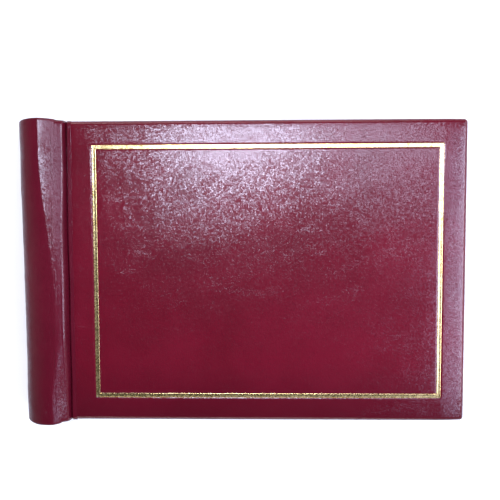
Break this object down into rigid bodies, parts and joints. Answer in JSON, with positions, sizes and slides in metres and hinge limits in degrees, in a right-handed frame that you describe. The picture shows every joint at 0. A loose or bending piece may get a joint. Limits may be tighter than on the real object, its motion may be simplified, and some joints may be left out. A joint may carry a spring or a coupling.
{
  "type": "stamp album",
  "caption": "Landscape ring-bound stamp album with padded burgundy covers, a round roll spine, a plain gold border and black stock leaves with clear strips.",
  "frame": {"origin": "middle of the closed album's footprint, on the surface it lies on", "axes": "+Z out of the front cover, +X from the spine to the fore-edge, +Y towards the head"},
  "size_m": [0.243, 0.1666, 0.031],
  "materials": {
    "wrap": "gloss",
    "foam": "matte",
    "board": "matte",
    "lining": "satin",
    "foil": "gloss",
    "steel": "gloss",
    "stock": "matte",
    "film": "gloss",
    "tissue": "satin",
    "page": "matte"
  },
  "bodies": {
    "back_cover": {"back_leather": "wrap", "back_padding": "foam", "back_board": "board", "back_lining": "lining"},
    "spine": {"spine_leather": "wrap", "spine_padding": "foam", "spine_board": "board", "spine_lining": "lining", "front_hinge_cloth": "lining", "mechanism_plate": "steel", "rivets": "steel", "trigger_pins": "steel", "title_guard": "page", "stock_guard_1": "stock", "stock_guard_2": "stock", "stock_guard_3": "stock", "stock_guard_4": "stock", "stock_guard_5": "stock", "interleaf_guard_1": "tissue", "interleaf_guard_2": "tissue", "interleaf_guard_3": "tissue", "interleaf_guard_4": "tissue", "back_sheet_guard": "page"},
    "front_cover": {"front_leather": "wrap", "front_padding": "foam", "front_board": "board", "front_lining": "lining", "gold_border": "foil"},
    "upper_ring": {"upper_blade": "steel", "upper_ring_halves": "steel"},
    "lower_ring": {"lower_blade": "steel", "lower_ring_halves": "steel"},
    "head_lever": {"head_trigger": "steel"},
    "tail_lever": {"tail_trigger": "steel"},
    "title_leaf": {"title_page": "page"},
    "leaf_1": {"stock_leaf_1": "stock", "clear_strips_1": "film"},
    "leaf_2": {"stock_leaf_2": "stock", "clear_strips_2": "film"},
    "leaf_3": {"stock_leaf_3": "stock", "clear_strips_3": "film"},
    "leaf_4": {"stock_leaf_4": "stock", "clear_strips_4": "film"},
    "leaf_5": {"stock_leaf_5": "stock", "clear_strips_5": "film"},
    "tissue_1": {"interleaf_1": "tissue"},
    "tissue_2": {"interleaf_2": "tissue"},
    "tissue_3": {"interleaf_3": "tissue"},
    "tissue_4": {"interleaf_4": "tissue"},
    "last_leaf": {"back_sheet": "page"}
  },
  "joints": [
    {"name": "spine_fold", "type": "hinge", "parent": "back_cover", "child": "spine", "pos_m": [-0.0959, 0, 0.0006], "axis": [0, -1, 0], "range_deg": [0, 75]},
    {"name": "front_cover_hinge", "type": "hinge", "parent": "spine", "child": "front_cover", "pos_m": [-0.0961, 0, 0.0226], "axis": [0, -1, 0], "range_deg": [0, 105]},
    {"name": "ring_open", "type": "hinge", "parent": "spine", "child": "upper_ring", "pos_m": [-0.1108, 0, 0.0168], "axis": [0, -1, 0], "range_deg": [0, 6]},
    {"name": "ring_open_lower", "type": "hinge", "parent": "spine", "child": "lower_ring", "pos_m": [-0.1108, 0, 0.008], "axis": [0, -1, 0], "range_deg": [-6, 0]},
    {"name": "head_trigger_press", "type": "hinge", "parent": "spine", "child": "head_lever", "pos_m": [-0.1103, 0.056, 0.0124], "axis": [0, 0, 1], "range_deg": [0, 20]},
    {"name": "tail_trigger_press", "type": "hinge", "parent": "spine", "child": "tail_lever", "pos_m": [-0.1103, -0.056, 0.0124], "axis": [0, 0, -1], "range_deg": [0, 20]},
    {"name": "title_turn", "type": "hinge", "parent": "spine", "child": "title_leaf", "pos_m": [-0.0875, 0, 0.0173], "axis": [0, -1, 0], "range_deg": [0, 101.85]},
    {"name": "leaf_1_turn", "type": "hinge", "parent": "spine", "child": "leaf_1", "pos_m": [-0.0875, 0, 0.0173], "axis": [0, -1, 0], "range_deg": [0, 99.75]},
    {"name": "tissue_1_turn", "type": "hinge", "parent": "spine", "child": "tissue_1", "pos_m": [-0.0875, 0, 0.0173], "axis": [0, -1, 0], "range_deg": [0, 97.65]},
    {"name": "leaf_2_turn", "type": "hinge", "parent": "spine", "child": "leaf_2", "pos_m": [-0.0875, 0, 0.0173], "axis": [0, -1, 0], "range_deg": [0, 95.55]},
    {"name": "tissue_2_turn", "type": "hinge", "parent": "spine", "child": "tissue_2", "pos_m": [-0.0875, 0, 0.0173], "axis": [0, -1, 0], "range_deg": [0, 93.45]},
    {"name": "leaf_3_turn", "type": "hinge", "parent": "spine", "child": "leaf_3", "pos_m": [-0.0875, 0, 0.0067], "axis": [0, -1, 0], "range_deg": [-67.5, 0]},
    {"name": "tissue_3_turn", "type": "hinge", "parent": "spine", "child": "tissue_3", "pos_m": [-0.0875, 0, 0.0067], "axis": [0, -1, 0], "range_deg": [-69, 0]},
    {"name": "leaf_4_turn", "type": "hinge", "parent": "spine", "child": "leaf_4", "pos_m": [-0.0875, 0, 0.0067], "axis": [0, -1, 0], "range_deg": [-70.5, 0]},
    {"name": "tissue_4_turn", "type": "hinge", "parent": "spine", "child": "tissue_4", "pos_m": [-0.0875, 0, 0.0067], "axis": [0, -1, 0], "range_deg": [-72, 0]},
    {"name": "leaf_5_turn", "type": "hinge", "parent": "spine", "child": "leaf_5", "pos_m": [-0.0875, 0, 0.0067], "axis": [0, -1, 0], "range_deg": [-73.5, 0]},
    {"name": "last_leaf_turn", "type": "hinge", "parent": "spine", "child": "last_leaf", "pos_m": [-0.0875, 0, 0.0067], "axis": [0, -1, 0], "range_deg": [-75, 0]}
  ],
  "couplings": [
    {"joint": "ring_open_lower", "follows": "ring_open", "ratio": -1},
    {"joint": "head_trigger_press", "follows": "ring_open", "ratio": 3.3333},
    {"joint": "tail_trigger_press", "follows": "ring_open", "ratio": 3.3333},
    {"joint": "title_turn", "follows": "front_cover_hinge", "ratio": 0.97},
    {"joint": "leaf_1_turn", "follows": "front_cover_hinge", "ratio": 0.95},
    {"joint": "tissue_1_turn", "follows": "front_cover_hinge", "ratio": 0.93},
    {"joint": "leaf_2_turn", "follows": "front_cover_hinge", "ratio": 0.91},
    {"joint": "tissue_2_turn", "follows": "front_cover_hinge", "ratio": 0.89},
    {"joint": "leaf_3_turn", "follows": "spine_fold", "ratio": -0.9},
    {"joint": "tissue_3_turn", "follows": "spine_fold", "ratio": -0.92},
    {"joint": "leaf_4_turn", "follows": "spine_fold", "ratio": -0.94},
    {"joint": "tissue_4_turn", "follows": "spine_fold", "ratio": -0.96},
    {"joint": "leaf_5_turn", "follows": "spine_fold", "ratio": -0.98},
    {"joint": "last_leaf_turn", "follows": "spine_fold", "ratio": -1}
  ]
}
